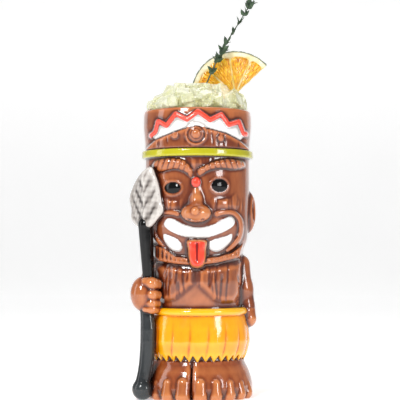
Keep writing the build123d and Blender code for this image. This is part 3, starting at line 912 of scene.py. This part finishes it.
def plain_skin(name, stops, scale, rough, depth, stretch=None):
    s = Shader(name)
    pattern = s.noise(scale, 5, 0.6, stretch)
    s.join(s.colours(pattern, stops), s.shader.inputs["Base Color"])
    s.join(s.span(s.noise(scale * 3, 3), 0.3, 0.7, *rough), s.shader.inputs["Roughness"])
    s.bump(s.noise(scale * 4, 3, 0.6, stretch), 0.6, depth)
    return s.material


MATERIALS = {
    # each glaze: its colour in the grooves, darkened by painted shade, its own colour, and its colour on the
    # crests, lightened by painted highlight
    "brown_glaze": glaze("brown_glaze_look", (66, 25, 12), (108, 45, 20), (186, 106, 58)),
    "tan_glaze": glaze("tan_glaze_look", (72, 28, 13), (148, 71, 30), (204, 124, 68)),
    "white_glaze": glaze("white_glaze_look", (176, 172, 168), (240, 240, 238), (255, 255, 255)),
    "black_glaze": glaze(
        "black_glaze_look", (1, 1, 1), (3, 3, 4), (9, 9, 10), (0.04, 0.1), coat=0.0, ior=1.4
    ),
    "red_glaze": glaze("red_glaze_look", (120, 6, 5), (212, 22, 15), (240, 70, 46)),
    "lime_glaze": glaze("lime_glaze_look", (104, 98, 2), (160, 154, 2), (188, 182, 16)),
    "amber_glaze": glaze("amber_glaze_look", (204, 104, 0), (250, 160, 0), (255, 190, 10)),
    "charcoal_glaze": glaze(
        "charcoal_glaze_look", (10, 11, 13), (30, 33, 36), (58, 62, 64), coat=0.2, ior=1.4
    ),
    "stone_glaze": glaze(
        "stone_glaze_look", (70, 62, 58), (160, 152, 146), (208, 202, 196), speckle=(70, 60, 56)
    ),
    "crushed_ice": crushed_ice(),
    "citrus_pulp": citrus_pulp(),
    "citrus_pith": citrus_pith(),
    "citrus_rind": plain_skin(
        "citrus_rind_look", [(0.3, (96, 110, 92)), (0.6, (140, 146, 118)), (0.8, (176, 172, 120))],
        300, (0.28, 0.45), 0.0004,
    ),
    "herb_stem": plain_skin(
        "herb_stem_look", [(0.3, (40, 56, 44)), (0.7, (74, 92, 66))],
        300, (0.45, 0.65), 0.0003, (1, 1, 0.2),
    ),
    "herb_leaf": plain_skin(
        "herb_leaf_look", [(0.3, (26, 44, 28)), (0.55, (52, 76, 50)), (0.8, (96, 118, 84))],
        420, (0.4, 0.6), 0.0004,
    ),
}


# ---- the ceramic pieces ----
def clay_pieces():
    """Every ceramic piece: node, kind of surface, where it lies, slot, and how far it stands out."""
    shafts = {name: grown(SPEAR[f"spear_shaft_{name}"], by) for name, by in (("upper", 0.3), ("lower", 0.8))}
    rows = [
        ("vessel", "clay", everywhere(), "brown_glaze", 0.0),
        ("headband", "glaze", ring_band(), "lime_glaze", 0.22),
    ]
    for side in ("left", "right"):
        for part in ("brow", "eyelid", "cheek_fold", "chest"):
            rows.append((f"{part}_{side}", "clay", patch(f"{part}_{side}"), "brown_glaze", 0.06))
        rows += [
            (f"rosette_stud_{side}", "clay", patch(f"rosette_stud_{side}", 0.2), "brown_glaze", 0.08),
            (f"eye_{side}", "glaze", patch(f"eye_{side}", 0.1), "black_glaze", 0.2),
            (f"lower_tooth_{side}", "glaze", patch(f"lower_tooth_{side}", -0.1), "white_glaze", 0.18),
            (f"ear_{side}", "clay", grown(HEAD_SOLIDS[f"ear_{side}"], 0.6), "brown_glaze", 0.07),
            (f"arm_{side}", "clay", grown(HANDS[f"arm_{side}"], 0.5), "brown_glaze", 0.08),
            (f"foot_{side}", "glaze", grown(LEGS[side], 0.25), "tan_glaze", 0.12),
            (f"toes_{side}", "glaze", grown(union(TOE_LIMBS[side]), 0.3), "tan_glaze", 0.2),
        ]
    rows += [
        ("headdress_arch", "clay", patch("headdress_arch"), "brown_glaze", 0.06),
        ("headdress_panel", "glaze", patch("headdress_panel", 0.3), "white_glaze", 0.12),
        ("zigzag_cord", "glaze", patch("zigzag_cord", 0.25), "red_glaze", 0.2),
        ("rosette", "clay", patch("rosette", 0.3), "brown_glaze", 0.08),
        ("forehead_dot", "glaze", patch("forehead_dot", 0.2), "red_glaze", 0.2),
        ("upper_teeth", "glaze", patch("upper_teeth"), "white_glaze", 0.18),
        ("chin_fringe", "clay", patch("chin_fringe"), "brown_glaze", 0.06),
        ("tongue_rim", "glaze", patch("tongue_rim", 0.1), "tan_glaze", 0.12),
        ("tongue", "glaze", patch("tongue"), "red_glaze", 0.26),
        ("nose", "glaze", grown(union([HEAD_SOLIDS["nose"], BRIDGE]), 0.35), "tan_glaze", 0.15),
        ("nose_stud", "glaze", grown(NOSE_STUD, 0.3), "tan_glaze", 0.24),
        ("skirt", "glaze", grown(SKIRT, 0.2), "amber_glaze", 0.15),
        ("waistband", "glaze", grown(WAIST, 0.3), "amber_glaze", 0.22),
        ("hand_left", "glaze", grown(HANDS["hand_left"], 0.4), "tan_glaze", 0.2),
        ("spear_shaft_upper", "glaze", shafts["upper"], "black_glaze", 0.14),
        ("spear_shaft_lower", "glaze", shafts["lower"], "charcoal_glaze", 0.14),
        ("spear_butt", "glaze", grown(SPEAR["spear_butt"], 0.8), "charcoal_glaze", 0.24),
        ("spear_head", "glaze", grown(SPEAR["spear_head"], 0.3), "stone_glaze", 0.3),
        ("fist_right", "glaze", grown(HANDS["fist_right"], 0.4), "tan_glaze", 0.18),
        ("fingers_right", "glaze", grown(union(FINGER_LIMBS), 0.3), "tan_glaze", 0.26),
    ]
    return rows


def build_clay():
    for node, surface_kind, region, slot, raised in clay_pieces():
        cast(f"{node}_{surface_kind}", node, region, slot, raised)


def everywhere():
    def distance(x, y, z):
        return np.full(np.broadcast_shapes(x.shape, y.shape, z.shape), -9.0)

    return distance, list(clay.low + 3), [axis[-1] - 3 for axis in clay.axes]


def ring_band():
    def distance(x, y, z):
        radius = np.hypot(x, y)
        inner = 33.0 - radius
        half = (BAND[1] - BAND[0]) / 2 + 0.1
        return np.maximum(np.maximum(radius - 36.5, inner), np.abs(z - sum(BAND) / 2) - half)

    return distance, [-36.5, -36.5, BAND[0]], [36.5, 36.5, BAND[1]]


# ---- crushed ice ----
ICE_MOUND = profile([
    (29.0, ICE_LOW - 2), (29.2, 179), (31.6, 181), (31.2, 184), (28.0, 188), (21, 191.5), (13, 194.4),
    (2, 196.6),
])


def build_ice():
    rng = np.random.default_rng(21)
    step = 0.6
    block = Clay((-34, -34, ICE_LOW - 1), (34, 34, 200), step)
    _, x, y, z = block.window((-40, -40, 100), (40, 40, 300))
    mound = np.hypot(x, y) - ICE_MOUND(np.clip(z, ICE_LOW - 2, 197)) + 2.2
    block.field = np.maximum(mound, ICE_LOW - z).astype(np.float32)
    for _ in range(330):
        turn = rng.uniform(0, 2 * math.pi)
        h = rng.uniform(178, 196)
        reach = float(ICE_MOUND(h)) * math.sqrt(rng.uniform(0.1, 1)) - 1.5
        block.add(ice_chunk(rng, reach * math.cos(turn), reach * math.sin(turn), h), 0.35)
    rim = np.where(z < RIM + 0.4, np.hypot(x, y) - 29.6, np.hypot(x, y) - 32.3)
    block.field = np.maximum(np.maximum(block.field, rim), ICE_LOW - z)
    block.field = np.maximum(block.field, z - 197.8).astype(np.float32)
    block.carve((slice_room, [-8, -2, 160], [56, 4, 200]), 0.2)
    block.carve(limb([(-4.9, STEM_Y, 174, 0.95), (5.6, STEM_Y, 197.5, 0.95)]), 0.2)
    points, quads = surface(block.field, block.low, step)
    soft = blurred(block.field, 2) - block.field
    piece = mesh_object("ice_chunks", points, quads, at_points(soft, block.low, step, points))
    finish_piece(piece, "crushed_ice", "ice", "crushed_ice")


def slice_room(x, y, z):
    """The slot that the citrus slice stands in."""
    flat = np.hypot(x - CITRUS_CENTRE[0], z - CITRUS_CENTRE[2]) - CITRUS_RADIUS - 0.5
    _, past_cut = in_slice(x, z)
    return np.maximum(np.maximum(flat, np.abs(y - CITRUS_CENTRE[1]) - 2.45), -past_cut - 0.5)


def ice_chunk(rng, cx, cy, cz):
    """One rounded, randomly turned chip of ice."""
    turn = np.linalg.qr(rng.normal(size=(3, 3)))[0]
    half = rng.uniform(1.5, 3.9, 3)

    def distance(x, y, z):
        p = [turn[k, 0] * (x - cx) + turn[k, 1] * (y - cy) + turn[k, 2] * (z - cz) for k in range(3)]
        q = [np.abs(p[k]) - half[k] for k in range(3)]
        outside = np.sqrt(sum(np.maximum(v, 0) ** 2 for v in q))
        return outside + np.minimum(np.maximum(np.maximum(q[0], q[1]), q[2]), 0) - 0.6

    reach = float(np.linalg.norm(half)) + 0.6
    return distance, [cx - reach, cy - reach, cz - reach], [cx + reach, cy + reach, cz + reach]


# ---- citrus slice ----
RIND = 0.8
PULP_RADIUS = CITRUS_RADIUS - 3.4
MEMBRANE_HALF = 0.35


def in_slice(x, z):
    """Place in the slice's own plane: along its cut edge, and away from it."""
    dx, dz = x - CITRUS_CENTRE[0], z - CITRUS_CENTRE[2]
    c, s = math.cos(CITRUS_TILT), math.sin(CITRUS_TILT)
    return c * dx + s * dz, -s * dx + c * dz


def build_citrus():
    step = 0.3
    block = Clay((-6, -2.4, 168), (46, 4.4, 222), step)
    x, y, z = block.axes[0][:, None, None], block.axes[1][None, :, None], block.axes[2][None, None, :]
    u, v = in_slice(x, z)
    radius = np.hypot(u, v) + 0 * y
    angle = np.arctan2(v, u)
    side = np.abs(y - CITRUS_CENTRE[1])
    flat = side - 2.0 - 0.06 * np.sin(angle * 23) + 0 * radius
    cut = -v + 0.12 * np.sin(u * 0.9) + 0 * radius
    peel_edge = CITRUS_RADIUS + 0.12 * np.sin(angle * 31) + 0.08 * np.sin(angle * 67 + y)
    peel = smooth_max(radius - peel_edge, CITRUS_RADIUS - RIND - radius, 0.3)
    peel = smooth_max(smooth_max(peel, flat, 0.5), cut, 0.2)
    citrus_mesh(block, "citrus_peel", peel, "citrus_rind", "citrus_rind")

    pulp = np.full(radius.shape, 9.0)
    for low, high in zip(MEMBRANES[:-1], MEMBRANES[1:]):
        a, b = math.radians(low), math.radians(high)
        past_low = math.cos(a) * v - math.sin(a) * u
        short_of_high = math.sin(b) * u - math.cos(b) * v
        wedge = smooth_max(MEMBRANE_HALF - past_low, MEMBRANE_HALF - short_of_high, 1.2)
        bowed = PULP_RADIUS - 0.9 * np.abs(np.sin((angle - a) / (b - a) * math.pi - math.pi / 2)) ** 6
        wedge = smooth_max(wedge, radius - bowed, 1.4)
        pulp = np.minimum(pulp, wedge)
    strands = 0.10 * np.sin(angle * 70 + 2.2 * np.sin(radius * 0.8)) * ramp(-pulp, 0.2, 1.2)
    swell = side - 1.85 - 0.3 * ramp(-pulp, 0, 2.0) - strands
    citrus_mesh(block, "citrus_flesh", smooth_max(pulp, swell, 0.35), "citrus_pulp", "citrus_segments")
    dimpled = side - 1.8 + 0.05 * np.sin(u * 2.1) * np.cos(v * 1.7)
    inner = smooth_max(radius - (CITRUS_RADIUS - RIND + 0.1), dimpled, 0.3)
    pith = smooth_max(inner, cut + 0.05, 0.3)
    citrus_mesh(block, "citrus_pith_ring", np.maximum(pith, -(pulp + 0.25)), "citrus_pith", "citrus_pith")


def citrus_mesh(block, name, field, slot, node):
    points, quads = surface(field.astype(np.float32), block.low, block.step)
    finish_piece(mesh_object(name, points, quads), slot, "citrus", node)


# ---- sprig ----
def sweep(path, half_sizes, sides, up):
    """A closed solid swept along a path, with an oval section at each point and a point at either end."""
    path = np.array(path, float)
    run = np.gradient(path, axis=0)
    run /= np.linalg.norm(run, axis=1)[:, None]
    up = np.broadcast_to(np.array(up, float), path.shape)
    across = np.cross(run, up)
    across /= np.linalg.norm(across, axis=1)[:, None]
    over = np.cross(across, run)
    turns = np.arange(sides) * 2 * math.pi / sides
    rings = []
    for point, a, o, (wide, thick) in zip(path, across, over, half_sizes):
        rings += [point + a * wide * math.cos(t) + o * thick * math.sin(t) for t in turns]
    points = rings + [path[0] - run[0] * 0.05, path[-1] + run[-1] * 0.05]
    faces = []
    for k in range(len(path) - 1):
        for i in range(sides):
            j = (i + 1) % sides
            faces.append((k * sides + i, k * sides + j, (k + 1) * sides + j))
            faces.append((k * sides + i, (k + 1) * sides + j, (k + 1) * sides + i))
    first, last = len(points) - 2, len(points) - 1
    top = (len(path) - 1) * sides
    for i in range(sides):
        j = (i + 1) % sides
        faces.append((first, j, i))
        faces.append((last, top + i, top + j))
    return points, faces


def leaf(rng, root, heading, size):
    """One small leaf: a keeled oval that curls back at its tip."""
    heading = np.array(heading) / np.linalg.norm(heading)
    side = np.cross(heading, rng.normal(size=3))
    side /= np.linalg.norm(side)
    curl = np.cross(side, heading)
    ts = np.linspace(0, 1, 9)
    path = [np.array(root) + heading * size * t + curl * size * 0.22 * t * t for t in ts]
    wide = [0.12 + size * 0.25 * math.sin(math.pi * min(1, 0.04 + t**0.8)) for t in ts]
    half_sizes = [(w, 0.1 + 0.16 * w) for w in wide]
    return sweep(path, half_sizes, 10, curl)


def build_sprig():
    rng = np.random.default_rng(5)
    line = curve_through([(x, STEM_Y, z) for x, z in STEM], False, 8)
    sizes = [(0.5 - 0.22 * k / len(line), 0.5 - 0.22 * k / len(line)) for k in range(len(line))]
    points, faces = sweep(line, sizes, 12, (0, 1, 0))
    finish_piece(mesh_object("thyme_stem", points, faces), "herb_stem", "sprig", "sprig_stem")

    all_points, all_faces = [], []
    for index, (x, z) in enumerate(STEM[1:]):
        along = np.array([0.42, 0, 0.9])
        leafy = 5.4 if index in (1, 2, 7) else 4.4
        for pair in range(4 if index in (1, 2, 7) else 3):
            root = np.array([x, STEM_Y, z]) + along * (pair * 1.1 - 2.4)
            turn = rng.uniform(0, math.pi)
            for flip in (0, math.pi):
                out = np.array([math.cos(turn + flip), 0.6 * math.sin(turn + flip), 0])
                heading = out * 0.8 + along * rng.uniform(0.5, 1.4)
                points, faces = leaf(rng, root, heading, leafy * rng.uniform(0.75, 1.1))
                start = len(all_points)
                all_points += list(points)
                all_faces += [(a + start, b + start, c + start) for a, b, c in faces]
    leaves = mesh_object("thyme_leaves", all_points, all_faces)
    finish_piece(leaves, "herb_leaf", "sprig", "sprig_leaves")


# ---- studio ----
def studio():
    half, depth, turn = 2.2, 1.6, 0.5
    outline = [(-3.0, 0.0)]
    bend = np.linspace(0, math.pi / 2, 16)
    outline += [(depth + turn * math.sin(a), turn - turn * math.cos(a)) for a in bend]
    outline += [(depth + turn, 2.6)]
    points = [(x, y, z) for y, z in outline for x in (-half, half)]
    faces = [(2 * k, 2 * k + 1, 2 * k + 3, 2 * k + 2) for k in range(len(outline) - 1)]
    points = np.array(points) / MM
    sweep_cloth = mesh_object("studio_sweep", points, faces)
    paper = Shader("studio_paper")
    tone = paper.noise(9, 2)
    white = paper.colours(tone, [(0, (250, 250, 250)), (1, (255, 255, 255))])
    paper.join(white, paper.shader.inputs["Base Color"])
    paper.shader.inputs["Roughness"].default_value = 0.9
    paper.shader.inputs["Emission Color"].default_value = (1, 1, 1, 1)
    paper.shader.inputs["Emission Strength"].default_value = 0.38
    sweep_cloth.data.materials.append(paper.material)


def softbox(name, place, target, size, power):
    light = bpy.data.lights.new(name, "AREA")
    light.shape = "RECTANGLE"
    light.size, light.size_y = size
    light.energy = power
    lamp = bpy.data.objects.new(name, light)
    lamp.location = place
    lamp.rotation_euler = (Vector(target) - Vector(place)).to_track_quat("-Z", "Y").to_euler()
    bpy.context.scene.collection.objects.link(lamp)


def lights_and_camera():
    scene = bpy.context.scene
    scene.view_settings.view_transform = "Standard"
    world = bpy.data.worlds.new("studio")
    world.use_nodes = True
    world.node_tree.nodes["Background"].inputs["Color"].default_value = (1, 1, 1, 1)
    world.node_tree.nodes["Background"].inputs["Strength"].default_value = 0.31
    scene.world = world
    middle = (0, 0, 0.12)
    softbox("key", (-0.42, -0.8, 0.62), middle, (0.22, 0.3), 6)
    softbox("fill", (0.7, -0.62, 0.3), middle, (0.24, 0.34), 2.6)
    softbox("left_strip", (-0.9, -0.1, 0.3), middle, (0.25, 0.9), 1.6)
    softbox("top", (0.1, 0.1, 1.0), middle, (0.8, 0.8), 2.4)
    lens = bpy.data.cameras.new("camera")
    lens.sensor_width = 36
    lens.lens = 113
    lens.clip_start = 0.05
    camera = bpy.data.objects.new("camera", lens)
    camera.location = (0, -0.8, 0.094)
    sight = Vector((0.0017, 0, 0.124)) - camera.location
    camera.rotation_euler = sight.to_track_quat("-Z", "Y").to_euler()
    scene.collection.objects.link(camera)
    scene.camera = camera


build_clay()
build_ice()
build_citrus()
build_sprig()
studio()
lights_and_camera()
